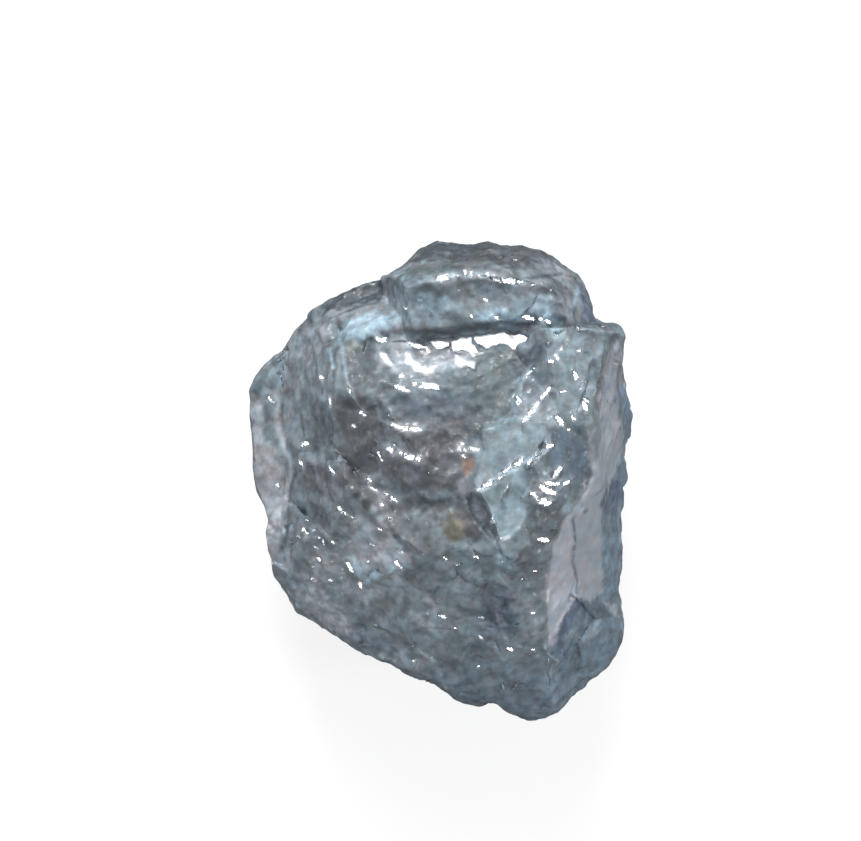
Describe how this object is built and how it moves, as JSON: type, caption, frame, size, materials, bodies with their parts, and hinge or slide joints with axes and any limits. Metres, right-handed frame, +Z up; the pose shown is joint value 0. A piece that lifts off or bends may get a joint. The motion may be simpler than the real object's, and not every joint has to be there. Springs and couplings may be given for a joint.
{
  "type": "rough diamond",
  "caption": "Uncut, cloudy blue-grey diamond crystal, broken into cleavage faces, ledges and pits, with one smooth grown skin and a flat break to rest on.",
  "frame": {"origin": "middle of the bounding box in plan, at the height of the resting face", "axes": "+Z up from the flat resting break, +Y along the stone's length toward the cap, +X toward the smooth grown skin"},
  "size_m": [0.0046, 0.0058, 0.0038],
  "materials": {
    "diamond": "cloudy, see-through at thin edges, bright adamantine lustre on broken faces and a duller grown skin"
  },
  "bodies": {
    "root": {"rough_diamond": "diamond"}
  },
  "joints": []
}
